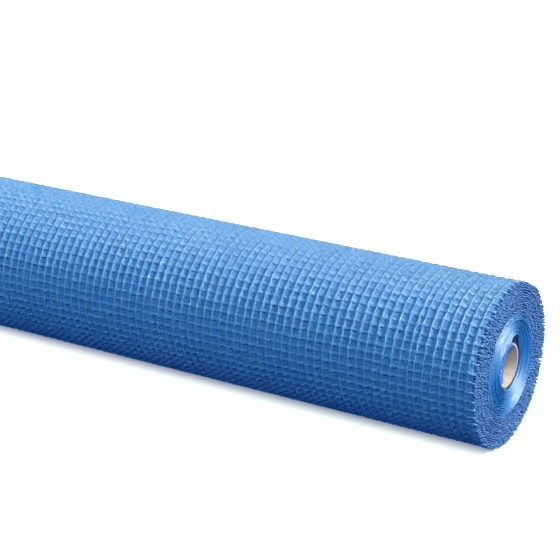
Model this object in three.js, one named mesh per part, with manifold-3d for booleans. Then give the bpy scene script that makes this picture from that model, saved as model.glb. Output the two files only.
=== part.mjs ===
// A roll of coated glass-fibre reinforcing mesh, wound on a cardboard tube and lying on its side.
//
// The sheet is one metre wide and some fifty metres long. Wound up, it is a single solid of
// revolution with a bore: the cylinder side is the outermost turn, and on each end the edges of
// the turns show as rings with shallow grooves between them. The tube inside is a little shorter
// than the sheet is wide, so its ends lie just below the rings.
//
// Millimetres. X runs along the roll, Z is up, and the origin is on the floor under the middle.

import * as THREE from 'three';
import { mergeVertices } from 'three/addons/utils/BufferGeometryUtils.js';
import Module from 'manifold-3d';

// The wound sheet
const sheet_width = 1000;
const roll_diameter = 180;
const end_rings = 12;
const ring_groove_depth = 2.0;
const ring_groove_width = 1.8;
const outer_edge_radius = 3.0;

// The cardboard tube
const core_outer_diameter = 48;
const core_wall = 2.0;
const core_recess = 2.0;
const core_clearance = 0.3;

// The sheet's first turn rises off the tube over its own starting edge and leaves a crescent gap
const start_gap_depth = 3.7;
const start_gap_radius = 14;
const start_gap_angle = 52;

// Every turned surface has the same facets, and one of them lies flat on the floor
const facets = 48;
const edge_arc_steps = 3;

const roll_radius = roll_diameter / 2;
const core_outer_radius = core_outer_diameter / 2;
const core_inner_radius = core_outer_radius - core_wall;
const bore_radius = core_outer_radius + core_clearance;
const half_width = sheet_width / 2;
const core_half_length = half_width - core_recess;
const axis_height = roll_radius * Math.cos(Math.PI / facets);

const wasm = await Module();
wasm.setup();

// Turns a profile of [radius, position along the roll] about the X axis.
function turned(profile) {
  const points = profile.map(([radius, along]) => new THREE.Vector2(radius, along));
  points.push(points[0].clone());
  const first_facet = Math.PI + Math.PI / facets;
  const geometry = new THREE.LatheGeometry(points, facets, first_facet, 2 * Math.PI);
  geometry.rotateZ(-Math.PI / 2);
  return geometry;
}

// A closed mesh as a solid that can be joined and cut.
function solid(geometry) {
  const bare = geometry.clone();
  bare.deleteAttribute('normal');
  bare.deleteAttribute('uv');
  const merged = mergeVertices(bare, 1e-4);
  const vertProperties = new Float32Array(merged.attributes.position.array);
  const triVerts = new Uint32Array(merged.index.array);
  return new wasm.Manifold(new wasm.Mesh({ numProp: 3, vertProperties, triVerts }));
}

function geometry_of(manifold) {
  const mesh = manifold.getMesh();
  const geometry = new THREE.BufferGeometry();
  geometry.setAttribute('position', new THREE.BufferAttribute(mesh.vertProperties, 3));
  geometry.setIndex(new THREE.BufferAttribute(mesh.triVerts, 1));
  geometry.computeVertexNormals();
  return geometry;
}

// One end of the wound sheet from the bore outwards: flat-topped rings, a V groove between each
// two, and a rounded rim. side is +1 or -1.
function end_profile(side) {
  const ring_pitch = (roll_radius - bore_radius) / end_rings;
  const points = [[bore_radius, side * half_width]];
  for (let ring = 1; ring < end_rings; ring += 1) {
    const groove = bore_radius + ring * ring_pitch;
    points.push([groove - ring_groove_width / 2, side * half_width]);
    points.push([groove, side * (half_width - ring_groove_depth)]);
    points.push([groove + ring_groove_width / 2, side * half_width]);
  }
  for (let step = 0; step <= edge_arc_steps; step += 1) {
    const turn = (step / edge_arc_steps) * (Math.PI / 2);
    const radius = roll_radius - outer_edge_radius * (1 - Math.sin(turn));
    const along = half_width - outer_edge_radius * (1 - Math.cos(turn));
    points.push([radius, side * along]);
  }
  return points;
}

// The bar that cuts the crescent gap along the bore, beside the tube.
function start_gap_bar() {
  const offset = bore_radius + start_gap_depth - start_gap_radius;
  const angle = THREE.MathUtils.degToRad(start_gap_angle);
  const bar_facets = facets / 2;
  const bar_length = sheet_width * 1.1;
  const bar = new THREE.CylinderGeometry(start_gap_radius, start_gap_radius, bar_length, bar_facets);
  bar.rotateZ(-Math.PI / 2);
  bar.translate(0, offset * Math.cos(angle), offset * Math.sin(angle));
  return bar;
}

function wound_sheet() {
  const near_end = end_profile(+1).reverse();
  const far_end = end_profile(-1);
  const full = solid(turned([...far_end, ...near_end]));
  return geometry_of(full.subtract(solid(start_gap_bar())));
}

function cardboard_tube() {
  return turned([
    [core_inner_radius, -core_half_length],
    [core_outer_radius, -core_half_length],
    [core_outer_radius, core_half_length],
    [core_inner_radius, core_half_length],
  ]);
}

const mesh_finish = new THREE.MeshStandardMaterial({ color: 0x3573c4, roughness: 0.55, metalness: 0 });
const cardboard_finish = new THREE.MeshStandardMaterial({ color: 0xc9b39a, roughness: 0.9, metalness: 0 });

const roll = new THREE.Group();

const mesh_roll = new THREE.Mesh(wound_sheet(), mesh_finish);
mesh_roll.name = 'mesh_roll';
mesh_roll.position.z = axis_height;
roll.add(mesh_roll);

const core_tube = new THREE.Mesh(cardboard_tube(), cardboard_finish);
core_tube.name = 'core_tube';
core_tube.position.z = axis_height;
roll.add(core_tube);

export default roll;
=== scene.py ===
# %% [markdown]
# # A roll of coated glass mesh
# The real object is a sheet of blue reinforcing mesh, 1 m wide and some fifty metres long, wound on a
# cardboard tube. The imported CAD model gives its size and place. This lesson builds what the CAD leaves out:
# the yarns of the last turn, the frayed ends of the roll and the finish of every surface.
# Everything is worked out in millimetres and turned into Blender's metres when a mesh is made.

# %% Load the fixed frame
import math

import bpy
import numpy as np
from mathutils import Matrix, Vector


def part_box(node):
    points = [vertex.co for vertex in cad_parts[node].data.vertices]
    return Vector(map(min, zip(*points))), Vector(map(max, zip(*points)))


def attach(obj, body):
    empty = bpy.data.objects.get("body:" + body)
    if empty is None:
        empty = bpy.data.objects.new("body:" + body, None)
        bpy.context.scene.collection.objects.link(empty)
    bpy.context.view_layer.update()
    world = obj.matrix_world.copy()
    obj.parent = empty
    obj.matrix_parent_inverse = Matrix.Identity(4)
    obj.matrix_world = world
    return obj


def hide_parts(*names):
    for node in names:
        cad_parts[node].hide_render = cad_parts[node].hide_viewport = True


MM = 0.001
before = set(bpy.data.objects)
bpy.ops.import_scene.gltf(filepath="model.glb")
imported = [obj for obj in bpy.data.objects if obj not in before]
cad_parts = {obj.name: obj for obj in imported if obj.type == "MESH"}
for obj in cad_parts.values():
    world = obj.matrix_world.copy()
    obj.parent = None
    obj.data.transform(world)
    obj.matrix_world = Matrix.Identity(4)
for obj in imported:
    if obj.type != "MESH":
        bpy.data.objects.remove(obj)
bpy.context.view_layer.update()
roll_low, roll_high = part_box("mesh_roll")
tube_low, tube_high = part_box("core_tube")
half_width = roll_high.x / MM
axis_height = (roll_low.z + roll_high.z) / 2 / MM
tube_radius = (tube_high.z - tube_low.z) / 2 / MM
print("half width", round(half_width, 2), "axis height", round(axis_height, 2))
print("tube radius", round(tube_radius, 2))

# %% [markdown]
# ## The camera
# The view comes first, because it decides how much detail shows. The place and the lens were fitted to the
# outline of the roll, to its yarn rings and to its end disc, so the render lines up with the photograph.
# A long lens a good way off keeps the two sides of the roll nearly parallel.

# %% Place the camera
view_azimuth = math.radians(31.173)
view_elevation = math.radians(20.914)
camera_data = bpy.data.cameras.new("studio_camera")
camera_data.sensor_width = 36.0
camera_data.lens = 112.4
half_pixel = 0.5 / 560
camera_data.shift_x = half_pixel
camera_data.shift_y = half_pixel
camera = bpy.data.objects.new("studio_camera", camera_data)
camera.location = (1.15894, -1.55459, 0.8237)
camera.rotation_euler = (math.pi / 2 - view_elevation, 0.0, view_azimuth)
bpy.context.scene.collection.objects.link(camera)
bpy.context.scene.camera = camera
print("camera at", [round(value, 3) for value in camera.location])

# %% [markdown]
# ## Helpers for meshes
# The roll holds thousands of yarn pieces. Objects or modifiers for each of them would be slow, so the
# points are worked out with numpy, many yarns at a time, and written into one mesh per kind of yarn.
# Places on the roll are given by the distance along it, the angle from its top toward the front, and the
# distance from its axis.

# %% Points on the roll and swept yarns
def on_roll(along, angle, radius):
    along, angle, radius = np.broadcast_arrays(along, angle, radius)
    return np.stack([along, -radius * np.sin(angle), axis_height + radius * np.cos(angle)], axis=-1)


def outward(angle):
    return np.stack([np.zeros_like(angle), -np.sin(angle), np.cos(angle)], axis=-1)


def round_the_roll(angle):
    return np.stack([np.zeros_like(angle), np.cos(angle), np.sin(angle)], axis=-1)


def sweep(centres, across, out, half_breadth, half_height, sides):
    """Tubes with an oval section. Points and directions are (yarns, steps, 3), sizes (yarns, steps)."""
    turn = (np.arange(sides) + 0.5) * 2 * math.pi / sides
    sideways = half_breadth[..., None] * np.cos(turn)
    upward = half_height[..., None] * np.sin(turn)
    points = centres[:, :, None, :] + across[:, :, None, :] * sideways[..., None]
    points = points + out[:, :, None, :] * upward[..., None]
    index = np.arange(points[..., 0].size).reshape(points.shape[:3])
    here = index[:, :-1]
    there = index[:, 1:]
    walls = np.stack([here, np.roll(here, -1, 2), np.roll(there, -1, 2), there], axis=-1)
    return points.reshape(-1, 3), [walls.reshape(-1, 4), index[:, 0, ::-1], index[:, -1, :]]


def joined(parts):
    """Several shapes as one."""
    points, faces, start = [], [], 0
    for part_points, part_faces in parts:
        points.append(part_points)
        faces += [corners + start for corners in part_faces]
        start += len(part_points)
    return np.concatenate(points), faces


triangle_count = {}


def add_piece(name, shape, finish):
    points, faces = shape
    corners = np.concatenate([rows.ravel() for rows in faces]).astype(np.int32)
    sizes = np.concatenate([np.full(len(rows), rows.shape[1]) for rows in faces])
    starts = np.concatenate([[0], np.cumsum(sizes)[:-1]]).astype(np.int32)
    mesh = bpy.data.meshes.new(name)
    mesh.vertices.add(len(points))
    mesh.vertices.foreach_set("co", (points * MM).astype(np.float32).ravel())
    mesh.loops.add(len(corners))
    mesh.loops.foreach_set("vertex_index", corners)
    mesh.polygons.add(len(sizes))
    mesh.polygons.foreach_set("loop_start", starts)
    mesh.polygons.foreach_set("use_smooth", np.ones(len(sizes), bool))
    mesh.update(calc_edges=True)
    mesh.materials.append(finish)
    piece = bpy.data.objects.new(name, mesh)
    bpy.context.scene.collection.objects.link(piece)
    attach(piece, "root")
    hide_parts("mesh_roll")
    triangle_count[name] = int((sizes - 2).sum())
    print(name, "triangles", triangle_count[name])
    return piece


# %% [markdown]
# ## Helpers for finishes
# Shader nodes read best as sums, so a small class wraps a socket and gives it the usual operators. Every
# other node comes from one function that takes its kind, its settings and what goes into its sockets.

# %% Wires and nodes
class Wire:
    def __init__(self, tree, socket):
        self.tree = tree
        self.socket = socket

    def sum_node(self, operation, first, second):
        return node(self.tree, "ShaderNodeMath", {"operation": operation}, {0: first, 1: second})

    def __add__(self, other):
        return self.sum_node("ADD", self, other)

    def __sub__(self, other):
        return self.sum_node("SUBTRACT", self, other)

    def __rsub__(self, other):
        return self.sum_node("SUBTRACT", other, self)

    def __mul__(self, other):
        return self.sum_node("MULTIPLY", self, other)

    def __truediv__(self, other):
        return self.sum_node("DIVIDE", self, other)

    def __pow__(self, other):
        return self.sum_node("POWER", self, other)

    __radd__ = __add__
    __rmul__ = __mul__


def node(tree, kind, settings=None, sockets=None, output=0):
    made = tree.nodes.new(kind)
    for setting, value in (settings or {}).items():
        setattr(made, setting, value)
    for key, value in (sockets or {}).items():
        if isinstance(value, Wire):
            tree.links.new(value.socket, made.inputs[key])
        else:
            made.inputs[key].default_value = value
    return Wire(tree, made.outputs[output]) if made.outputs else None


def new_finish(name):
    finish = bpy.data.materials.new(name)
    finish.use_nodes = True
    finish.node_tree.nodes.clear()
    return finish, finish.node_tree


def blend_colours(tree, share, first, second):
    return node(tree, "ShaderNodeMix", {"data_type": "RGBA"}, {0: share, 6: first, 7: second}, 2)


def noise(tree, place, scale, detail, roughness=0.5):
    return node(tree, "ShaderNodeTexNoise", {}, {
        "Vector": place, "Scale": scale, "Detail": detail, "Roughness": roughness})


def ramp(tree, value, low, high):
    return node(tree, "ShaderNodeMapRange", {"interpolation_type": "SMOOTHSTEP"},
                {"Value": value, "From Min": low, "From Max": high})


# %% [markdown]
# ## The coated yarn finish
# Glass yarn is bundled filaments under a thin coat of tinted latex. The coat is half glossy, and the
# filaments show through it as fine streaks along the yarn. The finish has to know which way a yarn runs, so
# it unrolls the object's coordinates into three lengths in millimetres: along the roll, round it, and out
# from its axis. The colour is pale in fine specks, where the coat is thin, and deep in the streaks. The same
# noise raises the bump, so the pale specks sit on its highs and the deep streaks in its lows: this is partly
# the yarn's own tone and partly painted light and shade on that relief. Painted images could show this too,
# but they would have to be laid on thousands of yarns, and noise needs none.
# The tips get paler toward their ends.

# %% Unrolled coordinates and the yarn finish
unrolling_radius = 90.0
patch_scale = 0.012
mottle_scale = 0.9
roughness_swing = 0.2


def unrolled(tree):
    place = node(tree, "ShaderNodeTexCoord", {}, {}, "Object")
    parts = node(tree, "ShaderNodeSeparateXYZ", {}, {0: place}).socket.node
    along = Wire(tree, parts.outputs["X"]) / MM
    back = Wire(tree, parts.outputs["Y"]) / MM
    height = Wire(tree, parts.outputs["Z"]) / MM - axis_height
    radius = (back * back + height * height) ** 0.5
    angle = node(tree, "ShaderNodeMath", {"operation": "ARCTAN2"}, {0: back * -1.0, 1: height})
    return along, angle * unrolling_radius, radius


def vector(tree, first, second, third):
    return node(tree, "ShaderNodeCombineXYZ", {}, {0: first, 1: second, 2: third})


def size_of(tree, value):
    return node(tree, "ShaderNodeMath", {"operation": "ABSOLUTE"}, {0: value})


def yarn_finish(name, streak, colours, mean_roughness, relief_depth, density=1.9, tint=0.85, cut_ends=0.0):
    """A finish with a pale, a full and a deep colour. streak is how many streaks a millimetre holds
    along the roll, round it, and out from its axis."""
    pale, full, deep = colours
    finish, tree = new_finish(name)
    along, round_it, radius = unrolled(tree)
    stretched = vector(tree, along * streak[0], round_it * streak[1], radius * streak[2])
    filaments = noise(tree, stretched, 1.0, 3.0)
    place = vector(tree, along, round_it, radius)
    patches = noise(tree, place, patch_scale, 3.0)
    mottle = noise(tree, place, mottle_scale, 3.0, 0.7)
    # The mottle and filament noises also raise the bump below, so the pale specks sit on its highs and the
    # deep streaks in its lows: partly the yarn's own tone, partly painted light and shade on that relief.
    body = blend_colours(tree, ramp(tree, mottle, 0.40, 0.62), full, pale)
    body = blend_colours(tree, ramp(tree, filaments, 0.58, 0.38) * 0.8, body, deep)
    body = blend_colours(tree, ramp(tree, patches, 0.42, 0.64) * 0.25, body, full)
    if cut_ends:
        # The tips get paler over their last few millimetres.
        paler_toward_tip_end = ramp(tree, size_of(tree, along), half_width - 1.0, half_width + 1.5)
        body = blend_colours(tree, paler_toward_tip_end * cut_ends, body, pale)
    relief = filaments * 0.6 + mottle * 0.9
    bump = node(tree, "ShaderNodeBump", {}, {"Strength": 0.8, "Distance": relief_depth, "Height": relief})
    coat = node(tree, "ShaderNodeBsdfPrincipled", {}, {
        "Base Color": body,
        "Roughness": mottle * roughness_swing + (mean_roughness - roughness_swing / 2),
        "Normal": bump,
        "IOR": density,
        "Specular IOR Level": 0.9,
        "Specular Tint": (tint, 0.97, 1.0, 1.0),
    })
    node(tree, "ShaderNodeOutputMaterial", {}, {"Surface": coat})
    return finish


weft_blues = ((0.090, 0.36, 0.58, 1.0), (0.005, 0.15, 0.38, 1.0), (0.001, 0.05, 0.20, 1.0))
# The warp blues are the yarn's own blue, made lighter than the weft blues as painted light on the ridge tops
# that the warps form.
warp_blues_with_painted_light = ((0.11, 0.39, 0.58, 1.0), (0.03, 0.24, 0.46, 1.0), (0.006, 0.12, 0.30, 1.0))
# The tip blues are the same yarn's blues, darker than the weft blues as painted shade on the end of the roll.
tip_blues_with_painted_shade = ((0.065, 0.17, 0.38, 1.0), (0.006, 0.062, 0.20, 1.0), (0.001, 0.022, 0.11, 1.0))
# The wool blues are darker than the weft blues: painted shade on the turns below the last one.
wool_blues_with_painted_shade = ((0.060, 0.28, 0.53, 1.0), (0.003, 0.12, 0.35, 1.0), (0.001, 0.035, 0.17, 1.0))
# The neat blues are the same yarn's blues, darker than the weft blues as painted shade on the end of the
# roll.
neat_blues_with_painted_shade = ((0.020, 0.19, 0.38, 1.0), (0.005, 0.12, 0.28, 1.0), (0.001, 0.06, 0.19, 1.0))
weft_coat = yarn_finish("coated_weft", (0.40, 1.2, 1.2), weft_blues, mean_roughness=0.30, relief_depth=0.0030)
wool_coat = yarn_finish("coated_wool", (0.50, 1.0, 1.0), wool_blues_with_painted_shade, mean_roughness=0.42, relief_depth=0.0050)
warp_coat = yarn_finish("coated_warp", (2.0, 0.25, 2.0), warp_blues_with_painted_light, mean_roughness=0.28, relief_depth=0.0010)
tip_coat = yarn_finish("coated_tips", (0.3, 1.5, 1.5), tip_blues_with_painted_shade, mean_roughness=0.34,
                       relief_depth=0.0010, density=1.5, tint=0.7, cut_ends=0.8)
neat_coat = yarn_finish("coated_neat_turns", (2.0, 0.3, 2.0), neat_blues_with_painted_shade, mean_roughness=0.36,
                        relief_depth=0.0004, density=1.85, tint=0.9)
print("finishes", weft_coat.name, wool_coat.name, warp_coat.name, tip_coat.name, neat_coat.name)

# %% [markdown]
# ## Where the yarns lie
# The warp yarns run round the roll. They lie every 10 mm, and every turn of the sheet puts them on the same
# places, so they pile up into the ridges that give the roll its rings. One pair near the visible end was
# threaded closer to its neighbour. Between two ridges the sheet sags, because it only has the weft there.
# The sag is one formula, so that the wefts and the turns below them follow the same hollows.

# %% Ring places and the sag between them
yarn_pitch = 10.0
free_weft = 8.8
close_pair_after = 7
close_pair_gap = 6.5
sag_depth = 2.6
sag_power = 1.7
end_droop = 0.006

near_rings = half_width - free_weft - yarn_pitch * np.arange(close_pair_after)
next_ring = near_rings[-1] - close_pair_gap
rings_left = int((next_ring + half_width) // yarn_pitch) + 1
far_rings = next_ring - yarn_pitch * np.arange(rings_left)
rings = np.sort(np.concatenate([near_rings, far_rings]))
print("rings", len(rings), "from", round(rings[0], 1), "to", round(rings[-1], 1))


def cell_place(along):
    """Where a distance along the roll lies between two rings, from 0 to 1, and how wide that cell is."""
    cell = np.clip(np.searchsorted(rings, along) - 1, 0, len(rings) - 2)
    width = rings[cell + 1] - rings[cell]
    return np.clip((along - rings[cell]) / width, 0.0, 1.0), width


def sag(along):
    """How far the sheet hangs below its ridges at a distance along the roll."""
    place, width = cell_place(along)
    hung = sag_depth * (width / yarn_pitch) * np.sin(math.pi * place).clip(0.0) ** sag_power
    beyond = np.maximum(along - rings[-1], rings[0] - along).clip(min=0.0)
    return hung + end_droop * beyond ** 2


# %% [markdown]
# ## The wefts of the last turn
# The sheet's free edge lies low on the back of the roll, where the photograph can't show it. From there the
# last turn goes once round, sinks by half a millimetre on the way, and so ends in a small step at the edge.
# A weft crosses the roll every 10 mm of sheet. It is a flat bundle: high where a pair of warp yarns grips it
# and low between. Each weft is a swept tube, because its edges catch the light as bump alone wouldn't. The
# turns below are left to the drum.

# %% Wefts of the last turn
edge_angle = math.radians(-112.0)
crest_radius = 88.95
turn_drop = 0.47
wefts_a_turn = 56
weft_pitch = 9.97
weft_skew = 0.016
gripped_breadth = 2.1
fan_breadth = 0.6
gripped_height = 0.95
flat_height = 0.28
first_weft = 2.0
weft_lift = 0.6
spacing_noise = 0.25
weft_sway = 0.5
weft_wander = 0.35
weft_unevenness = 0.14
weft_looseness = 0.16
weft_seed = 11


def turn_radius(angle):
    """Radius of the sheet's last turn, where angle counts on from the free edge."""
    return crest_radius - turn_drop * (angle - edge_angle) / (2 * math.pi)


def weft_places():
    rng = np.random.default_rng(weft_seed)
    arc = first_weft + weft_pitch * np.arange(wefts_a_turn)
    arc = arc + rng.normal(0.0, spacing_noise, wefts_a_turn)
    return edge_angle + arc / (crest_radius + weft_lift)


def smooth_noise(rng, shape, amount, window):
    """Random numbers that change slowly along their last axis."""
    raw = rng.normal(0.0, 1.0, shape)
    kernel = np.hanning(window + 2)[1:-1]
    kernel = kernel / np.sqrt((kernel ** 2).sum())
    return amount * np.apply_along_axis(lambda row: np.convolve(row, kernel, "same"), -1, raw)


def cell_steps(shares):
    """Distances along the roll: every ring, the given shares of each cell, and the last ring."""
    widths = np.diff(rings)
    inner = (rings[:-1, None] + widths[:, None] * np.array(shares)).ravel()
    return np.append(inner, rings[-1])


def weft_yarns(chosen):
    rng = np.random.default_rng(weft_seed + 1)
    angles = weft_places()
    free_near = rings[-1] + (half_width - rings[-1]) * np.array([0.4, 0.8, 1.05])
    free_far = rings[0] - (half_width + rings[0]) * np.array([1.05, 0.6])
    along = np.concatenate([free_far, cell_steps((0.0, 0.22, 0.5, 0.78)), free_near])
    shape = (wefts_a_turn, len(along))
    place, width = cell_place(along)
    sway = smooth_noise(rng, (1, len(along)), weft_sway, 60)
    shift = (sway - weft_skew * along + smooth_noise(rng, shape, weft_wander, 9)) / crest_radius
    angle = angles[:, None] + shift
    radius = turn_radius(angles)[:, None] - sag(along) + smooth_noise(rng, shape, weft_unevenness, 3)
    loose = 1.0 + smooth_noise(rng, shape, weft_looseness, 3)
    half_breadth = (gripped_breadth + fan_breadth * np.sin(2 * math.pi * place) ** 2) * loose
    half_height = flat_height + (gripped_height - flat_height) * np.cos(math.pi * place) ** 2 * loose
    beyond = (along > rings[-1] + 1.0) | (along < rings[0] - 1.0)
    half_breadth = np.where(beyond, half_breadth * 0.7, half_breadth)
    half_height = np.where(np.abs(along) > half_width, half_height * 0.6, half_height)
    across = round_the_roll(angle)
    centres = on_roll(along, angle, radius)
    return sweep(centres[chosen], across[chosen], outward(angle)[chosen],
                 half_breadth[chosen], half_height[chosen], 5)


half = wefts_a_turn // 2
add_piece("weft_top_and_front", weft_yarns(slice(0, half)), weft_coat)
add_piece("weft_below_and_back", weft_yarns(slice(half, None)), weft_coat)

# %% [markdown]
# ## The warp pairs
# Two thin yarns run together round the roll and twist half a turn between wefts, which locks each weft in
# place. This is a leno weave. One yarn of the pair passes over every weft and the other under it, and they
# change sides in between. Both follow a cosine: sideways once in two wefts, and in and out once per weft.
# A curve with a bevel for each yarn would look the same, but four steps a weft are enough at this size.

# %% Twisted pairs round the roll
twist_reach = 0.42
lift_mean = 0.22
lift_swing = 0.55
warp_half_breadth = 0.75
warp_half_height = 0.42
warp_steps = 4


def warp_yarns(side, sides, rng):
    """side is 1 for the yarn that passes over the wefts, and -1 for the one under them."""
    weft = (np.arange(wefts_a_turn * warp_steps + 3) - 1) / warp_steps
    pick = np.clip(weft, 0, wefts_a_turn - 1)
    base = np.interp(weft, np.arange(wefts_a_turn), weft_places())
    base = base + (weft - pick) * weft_pitch / crest_radius
    shift = weft_skew * -rings / crest_radius
    angle = base[None, :] + shift[:, None]
    start = rng.integers(0, 2, len(rings))[:, None]
    sideways = side * twist_reach * np.cos(math.pi * (weft[None, :] + start))
    wander = smooth_noise(rng, angle.shape, 0.12, 12)
    lift = side * (lift_mean + lift_swing * np.cos(2 * math.pi * weft))[None, :]
    radius = turn_radius(base)[None, :] + lift + smooth_noise(rng, angle.shape, 0.05, 3)
    along = rings[:, None] + sideways + wander
    across = np.broadcast_to(np.array([1.0, 0.0, 0.0]), angle.shape + (3,))
    size = np.ones_like(angle)
    return sweep(on_roll(along, angle, radius), across, outward(angle),
                 warp_half_breadth * size, warp_half_height * size, sides)


add_piece("warp_over", warp_yarns(1, 4, np.random.default_rng(21)), warp_coat)
add_piece("warp_under", warp_yarns(-1, 3, np.random.default_rng(21)), warp_coat)

# %% [markdown]
# ## The wound turns below
# Under the last turn lie more than a hundred others. From outside they are one woolly, corrugated drum, so
# one closed mesh stands for them: outside, both ends and the bore. Its outside lies just under the last
# turn and carries a low ridge for each weft. Over its own starting edge the sheet rises off the tube and
# leaves a crescent gap, so the bore isn't round there. Separate turns would cost millions of triangles and
# stay hidden.

# %% The drum of wound turns
drum_depth = 0.10
ridge_height = 0.35
emboss = np.array([ridge_height, 0.0, 0.0])
wool_depth = 0.22
drum_end = half_width - 3.0
rim_drop = 1.1
rim_start = 4.0
face_steps = 12
face_hollow = 1.5
face_noise = 0.5
face_rim = 5.0
bore_steps = 7
bore_inset = 12.0
bore_clearance = 0.25
mouth_clearance = 1.1
gap_angle = math.radians(-22.0)
gap_depth = 8.5
gap_reach = math.radians(42.0)
gap_fade = 11.0


def bore_lift(angle, radius):
    """How far a turn at this radius is pushed out over the sheet's starting edge."""
    away = np.abs((angle - gap_angle + math.pi) % (2 * math.pi) - math.pi) / gap_reach
    bulge = np.where(away < 1.0, np.cos(away.clip(max=1.0) * math.pi / 2) ** 1.5, 0.0)
    return gap_depth * bulge * np.exp((tube_radius + bore_clearance - radius) / gap_fade)


def wound_drum(rng):
    near_rim = [rings[-1] + rim_start, drum_end]
    outer_along = np.concatenate([[-drum_end], cell_steps((0.0, 0.16, 0.38, 0.62, 0.84)), near_rim])
    outer_drop = drum_depth + sag(outer_along)
    outer_drop[[0, -1]] += rim_drop
    face_radius = np.linspace(crest_radius - face_rim, tube_radius + mouth_clearance, face_steps)
    face_place = drum_end - face_hollow * np.array([0.5] + [1.0] * (face_steps - 1))
    bore_along = np.linspace(drum_end - bore_inset, -drum_end + bore_inset, bore_steps)
    bore_radius = np.full(bore_steps, tube_radius + bore_clearance)
    along = np.concatenate([outer_along, face_place, bore_along, -face_place[::-1]])
    inner_radius = np.concatenate([face_radius, bore_radius, face_radius[::-1]])
    steps = wefts_a_turn * len(emboss)
    turn = (np.arange(steps) + 1.5) * 2 * math.pi / steps
    angle = edge_angle + turn[None, :] - weft_skew * along[:, None] / crest_radius
    ridges = np.tile(emboss, wefts_a_turn)
    outer = turn_radius(edge_angle + turn)[None, :] - outer_drop[:, None] + ridges[None, :]
    outer = outer + rng.normal(0.0, wool_depth, outer.shape)
    inner = np.repeat(inner_radius[:, None], steps, 1)
    inner = inner + bore_lift(angle[len(outer_along):], inner)
    points = on_roll(along[:, None], angle, np.concatenate([outer, inner]))
    rough = rng.normal(0.0, face_noise, (face_steps, steps))
    rough[-1] = 0.0
    points[len(outer_along):len(outer_along) + face_steps, :, 0] += rough
    points[-face_steps:, :, 0] += rough[::-1]
    index = np.arange(angle.size).reshape(angle.shape)
    following = np.roll(index, -1, axis=0)
    faces = np.stack([index, following, np.roll(following, -1, 1), np.roll(index, -1, 1)], axis=-1)
    return points.reshape(-1, 3), [faces.reshape(-1, 4)]


# The drum's finish is darker than the wefts': painted shade on the turns below.
add_piece("wound_turns", wound_drum(np.random.default_rng(25)), wool_coat)

# %% [markdown]
# ## The ends of the roll
# Past the last warp pair every weft ends in a free tip, so the end of the roll is a brush of thousands of
# tips that stand along the turns. Near the tube the turns are wound tight and show as neat rings instead.
# Both follow a flat spiral, and the border between them isn't round: it bulges on two sides.
# Each tip is a short swept tube rather than a hair, because hair isn't a mesh and wouldn't be kept.

# %% The spiral and the border of the brush
brush_start = 46.5
bulge_sides = (math.radians(42.0), math.radians(-160.0))
bulge_heights = (8.0, 6.0)
bulge_breadth = 0.6


def spiral(first, last, pitch, spacing):
    """Angles and radii of points that follow a flat spiral at an even spacing."""
    length = math.pi * (last ** 2 - first ** 2) / pitch
    arc = np.arange(0.0, length, spacing)
    radius = np.sqrt(first ** 2 + pitch * arc / math.pi)
    return 2 * math.pi * (radius - first) / pitch, radius


def brush_edge(angle):
    """The radius where neat turns give way to frayed tips."""
    edge = np.full_like(angle, brush_start)
    for side, height in zip(bulge_sides, bulge_heights):
        away = (angle - side + math.pi) % (2 * math.pi) - math.pi
        edge = edge + height * np.exp(-(away / bulge_breadth) ** 2)
    return edge


print("brush edge from", brush_start, "to", round(float(brush_edge(np.array(bulge_sides)).max()), 1))

# %% [markdown]
# ## Frayed tips
# The tips are cut roughly, so their lengths differ by a millimetre or two, and they lean and spread. The
# turns also stand out a little more and less than one another, which shows as faint rings in the brush.

# %% The brush of tips
tip_turn_pitch = 2.5
tip_spacing = 3.0
tip_reach = half_width + 1.8
tip_root = drum_end - 3.5
standing_out = 0.45
standing_out_pitch = 7.5
border_noise = 1.5
length_noise = 0.6
tip_lean = 0.6
tip_spread = 0.35


def frayed_tips(rng):
    angle, radius = spiral(brush_start, crest_radius - 0.2, tip_turn_pitch, tip_spacing)
    count = len(angle)
    angle = angle + rng.normal(0.0, 0.5, count) / radius
    radius = radius + rng.normal(0.0, 0.14, count)
    kept = radius > brush_edge(angle) + rng.normal(0.0, border_noise, count)
    angle, radius = angle[kept], radius[kept]
    count = len(angle)
    telescoping = standing_out * (1.0 + np.sin(2 * math.pi * radius / standing_out_pitch + angle))
    length = tip_reach - telescoping - np.abs(rng.normal(0.0, length_noise, count))
    share = np.array([0.0, 0.72, 0.93, 1.0])
    along = tip_root + (length[:, None] - tip_root) * share
    lean = rng.normal(0.0, tip_lean, count)[:, None] * share
    spread = rng.normal(0.0, tip_spread, count)[:, None] * share
    tip_angle = angle[:, None] + lean / radius[:, None]
    tip_radius = radius[:, None] + spread
    across = round_the_roll(tip_angle)
    narrowing = np.array([0.9, 1.0, 0.85, 0.4])
    breadth = rng.uniform(1.05, 1.45, count)[:, None] * narrowing
    height = rng.uniform(0.8, 1.05, count)[:, None] * narrowing
    return sweep(on_roll(along, tip_angle, tip_radius), across, outward(tip_angle), breadth, height, 5)


print("tips from", round(tip_root, 1), "to", round(tip_reach, 1))

# %% [markdown]
# ## Neat turns and loose ends
# Close to the tube each turn shows as a smooth bead, and all the beads are one swept spiral. They follow
# the crescent gap where the sheet rises off the tube. On one side some short ends of the first turns bend
# in over the rim of the tube. The far end is the near one mirrored, with other random numbers.

# %% Neat turns, loose ends and both ends of the roll
neat_clearance = 2.3
neat_end = 56.0
neat_pitch = 2.5
neat_step = 1.6
neat_recess = 1.0
neat_half_breadth = 1.8
neat_half_height = 0.92
loose_count = 110
loose_middle = math.radians(62.0)
loose_reach = 0.95


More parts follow.
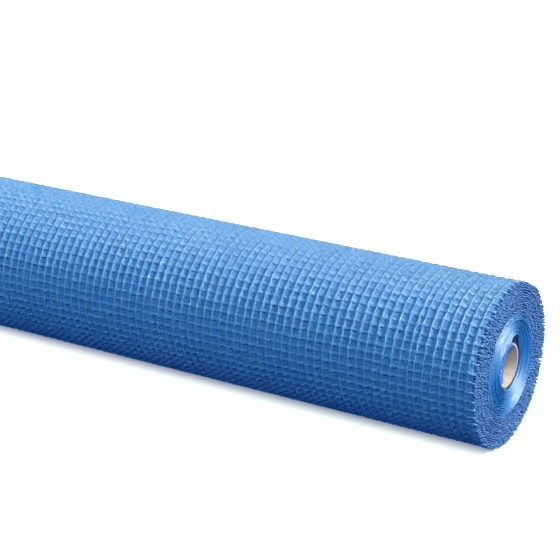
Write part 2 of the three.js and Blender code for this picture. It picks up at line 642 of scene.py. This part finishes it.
def neat_turns(rng):
    angle, radius = spiral(tube_radius + neat_clearance, neat_end, neat_pitch, neat_step)
    swell = smooth_noise(rng, (1, len(angle)), 0.45, 50)[0]
    along = np.full(len(angle), half_width - neat_recess) + swell
    radius = radius + bore_lift(angle, radius) + smooth_noise(rng, (1, len(angle)), 0.12, 7)[0]
    centres = on_roll(along, angle, radius)[None]
    across = np.broadcast_to(np.array([1.0, 0.0, 0.0]), centres.shape)
    size = np.ones((1, len(angle)))
    return sweep(centres, across, outward(angle)[None], neat_half_breadth * size, neat_half_height * size, 8)


def loose_ends(rng):
    """Short ends of the first turns that bend in over the rim of the tube on one side."""
    count = loose_count
    angle = loose_middle + rng.uniform(-loose_reach, loose_reach, count)
    lean = rng.normal(0.0, 1.2, count)
    share = np.array([0.0, 0.5, 1.0])
    start = rng.uniform(26.5, 30.0, count)
    reach = rng.uniform(21.9, 24.0, count)
    radius = start[:, None] + (reach - start)[:, None] * share
    along = half_width + 0.2 + np.array([0.0, 1.3, 1.2]) + rng.uniform(0.0, 0.5, count)[:, None]
    strand_angle = angle[:, None] + lean[:, None] * share / 25.0
    across = round_the_roll(strand_angle)
    flat = np.broadcast_to(np.array([1.0, 0.0, 0.0]), across.shape)
    size = rng.uniform(0.45, 0.75, count)[:, None] * np.array([1.0, 1.0, 0.6])
    return sweep(on_roll(along, strand_angle, radius), across, -flat, size * 1.2, size * 0.7, 5)


def mirrored(shape):
    points, faces = shape
    return points * np.array([-1.0, 1.0, 1.0]), [corners[:, ::-1] for corners in faces]


for side, seed, turned in (("near_end", 31, False), ("far_end", 32, True)):
    rng = np.random.default_rng(seed)
    for part, shape, finish in (("tips", joined([frayed_tips(rng), loose_ends(rng)]), tip_coat),
                                ("neat_turns", neat_turns(rng), neat_coat)):
        add_piece(side + "_" + part, mirrored(shape) if turned else shape, finish)

# %% [markdown]
# ## The cardboard tube
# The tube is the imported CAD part, and only its finish is new. Such tubes are wound from strips of
# grey-brown paper, so their surface has long fibres, faint slanting seams, and a plainer cut edge. One
# finish with noise and a repeated stripe shows all of that, and the shape needs no change.

# %% Cardboard finish
seam_spacing = 62.0
seam_slant = 0.45
tube_half_length = tube_high.x / MM
dark_paper = (0.42, 0.30, 0.25, 1.0)
pale_paper = (0.50, 0.37, 0.31, 1.0)
pale_fibre = (0.57, 0.44, 0.38, 1.0)
seam_shadow = (0.20, 0.15, 0.12, 1.0)
# The cut edge is a little darker than the paper: painted shade against the strong key light on the end of the
# tube.
cut_edge_with_painted_shade = (0.40, 0.31, 0.27, 1.0)


def cardboard_finish(name):
    finish, tree = new_finish(name)
    along, round_it, radius = unrolled(tree)
    place = vector(tree, along, round_it, radius)
    fibres = noise(tree, vector(tree, along * 0.4, round_it * 2.0, radius * 6.0), 1.0, 4.0)
    clouds = noise(tree, place, 0.08, 2.0)
    seam_place = (along + round_it * seam_slant) / seam_spacing
    seam_phase = node(tree, "ShaderNodeMath", {"operation": "FRACT"}, {0: seam_place})
    seam = 1.0 - ramp(tree, seam_phase, 0.0, 0.02)
    paper = blend_colours(tree, ramp(tree, clouds, 0.3, 0.7), dark_paper, pale_paper)
    paper = blend_colours(tree, ramp(tree, fibres, 0.4, 0.7) * 0.5, paper, pale_fibre)
    paper = blend_colours(tree, seam * 0.6, paper, seam_shadow)
    # Toward the end of the tube the paper blends into the darker cut-edge colour, which is painted shade.
    rim = ramp(tree, size_of(tree, along), tube_half_length - 0.8, tube_half_length - 0.1)
    paper = blend_colours(tree, rim, paper, cut_edge_with_painted_shade)
    bump = node(tree, "ShaderNodeBump", {}, {"Strength": 0.3, "Distance": 0.0003, "Height": fibres - seam})
    card = node(tree, "ShaderNodeBsdfPrincipled", {}, {
        "Base Color": paper, "Roughness": fibres * 0.1 + 0.8, "Normal": bump, "Specular IOR Level": 0.3})
    node(tree, "ShaderNodeOutputMaterial", {}, {"Surface": card})
    return finish


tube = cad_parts["core_tube"]
tube.data.materials.clear()
tube.data.materials.append(cardboard_finish("wound_cardboard"))
print("tube finish on", tube.name)

# %% [markdown]
# ## Floor and wall
# A plain pale floor runs far past the view. It glows white, like the plain ground of the photograph, apart
# from a narrow strip along the roll, where the glow fades and the contact shadow shows. That fade is painted
# shadow, laid over the real contact shadow. The floor is hidden from the roll's own bounced light, so the
# underside stays deep. A white wall stands far off all round. Only the camera sees it, so it keeps the
# horizon plain and changes no light.

# %% Floor and wall
floor_half_side = 12.0
shadow_start = 0.005
shadow_end = 0.065
wall_radius = 11.0
wall_height = 9.0
wall_foot = -0.1
wall_steps = 64


def studio_floor():
    side = floor_half_side
    mesh = bpy.data.meshes.new("studio_floor")
    corners = [(-side, -side, 0.0), (side, -side, 0.0), (side, side, 0.0), (-side, side, 0.0)]
    mesh.from_pydata(corners, [], [(0, 1, 2, 3)])
    finish, tree = new_finish("pale_floor")
    place = node(tree, "ShaderNodeTexCoord", {}, {}, "Object")
    parts = node(tree, "ShaderNodeSeparateXYZ", {}, {0: place}).socket.node
    past_end = size_of(tree, Wire(tree, parts.outputs["X"])) - half_width * MM
    past_end = node(tree, "ShaderNodeMath", {"operation": "MAXIMUM"}, {0: past_end, 1: 0.0})
    aside = Wire(tree, parts.outputs["Y"])
    from_contact = (past_end * past_end + aside * aside) ** 0.5
    # The glow fades near the roll: this fade is painted shadow, on top of the real contact shadow.
    glow_with_painted_shadow = ramp(tree, from_contact, shadow_start, shadow_end)
    paint = node(tree, "ShaderNodeBsdfPrincipled", {}, {
        "Base Color": (0.66, 0.62, 0.56, 1.0), "Roughness": 0.9, "Specular IOR Level": 0.1,
        "Emission Color": vector(tree, glow_with_painted_shadow, glow_with_painted_shadow, glow_with_painted_shadow), "Emission Strength": 1.0})
    node(tree, "ShaderNodeOutputMaterial", {}, {"Surface": paint})
    mesh.materials.append(finish)
    floor = bpy.data.objects.new("studio_floor", mesh)
    floor.visible_diffuse = False
    floor.visible_glossy = False
    bpy.context.scene.collection.objects.link(floor)


def studio_wall():
    steps = wall_steps
    turn = np.arange(steps) * 2 * math.pi / steps
    ring = np.stack([wall_radius * np.cos(turn), wall_radius * np.sin(turn)], axis=-1)
    corners = [(x, y, z) for z in (wall_foot, wall_height) for x, y in ring]
    faces = []
    for step in range(steps):
        following = (step + 1) % steps
        faces.append((step, following, steps + following, steps + step))
    mesh = bpy.data.meshes.new("studio_wall")
    mesh.from_pydata(corners, [], faces)
    finish, tree = new_finish("white_wall")
    paint = node(tree, "ShaderNodeEmission", {}, {"Color": (1.0, 1.0, 1.0, 1.0), "Strength": 1.0})
    node(tree, "ShaderNodeOutputMaterial", {}, {"Surface": paint})
    mesh.materials.append(finish)
    wall = bpy.data.objects.new("studio_wall", mesh)
    wall.visible_diffuse = False
    wall.visible_glossy = False
    wall.visible_shadow = False
    bpy.context.scene.collection.objects.link(wall)


studio_floor()
studio_wall()
print("floor", 2 * floor_half_side, "m wide, wall", wall_radius, "m away")

# %% [markdown]
# ## Light
# The key light stands off the near end of the roll, a little above it, so each ridge has a bright side
# toward the near end and a dark one behind it. A broad, bluish fill light opens up the front and makes no
# highlights. A faint light from behind does the opposite: it only makes highlights, on the top of the roll.
# The sky is white above and deep blue below. Area lights would also do, but sun lights keep their strength
# along the whole metre of the roll.

# %% Lights and sky
key_direction = np.array([0.70, 0.20, 0.68])
fill_direction = np.array([0.30, -0.75, 0.65])
back_direction = np.array([0.0, 0.80, 0.60])
white = (1.0, 1.0, 1.0)
fill_colour = (0.55, 0.92, 1.02)
sky_strength = 0.5


def soft_light(name, energy, spread, toward, colour=white, shines=True, lights=True):
    """A far light as wide as spread degrees, which comes from the direction toward."""
    light = bpy.data.lights.new(name, "SUN")
    light.energy = energy
    light.color = colour
    light.angle = math.radians(spread)
    lamp = bpy.data.objects.new(name, light)
    elevation = math.asin(toward[2] / np.linalg.norm(toward))
    azimuth = math.atan2(toward[0], -toward[1])
    lamp.rotation_euler = (math.pi / 2 - elevation, 0.0, azimuth)
    lamp.visible_glossy = shines
    lamp.visible_diffuse = lights
    bpy.context.scene.collection.objects.link(lamp)


def studio_light():
    world = bpy.data.worlds.new("studio_sky")
    world.use_nodes = True
    tree = world.node_tree
    tree.nodes.clear()
    direction = node(tree, "ShaderNodeTexCoord", {}, {}, "Generated")
    parts = node(tree, "ShaderNodeSeparateXYZ", {}, {0: direction}).socket.node
    height = Wire(tree, parts.outputs["Z"])
    depth = (0.0, 0.01, 0.05, 1.0)
    horizon = (0.0, 0.10, 2.2, 1.0)
    sky = blend_colours(tree, ramp(tree, height, -0.75, -0.15), depth, horizon)
    sky = blend_colours(tree, ramp(tree, height, -0.15, 0.30), sky, (1.0, 1.0, 1.0, 1.0))
    light = node(tree, "ShaderNodeBackground", {}, {"Color": sky, "Strength": sky_strength})
    node(tree, "ShaderNodeOutputWorld", {}, {"Surface": light})
    bpy.context.scene.world = world
    soft_light("key_light", energy=6.2, spread=16.0, toward=key_direction)
    soft_light("fill_light", energy=4.2, spread=80.0, toward=fill_direction, colour=fill_colour, shines=False)
    soft_light("back_light", energy=0.8, spread=30.0, toward=back_direction, lights=False)


studio_light()
bpy.context.scene.view_settings.view_transform = "Standard"

# %% Sizes
print("triangles in all", sum(triangle_count.values()))
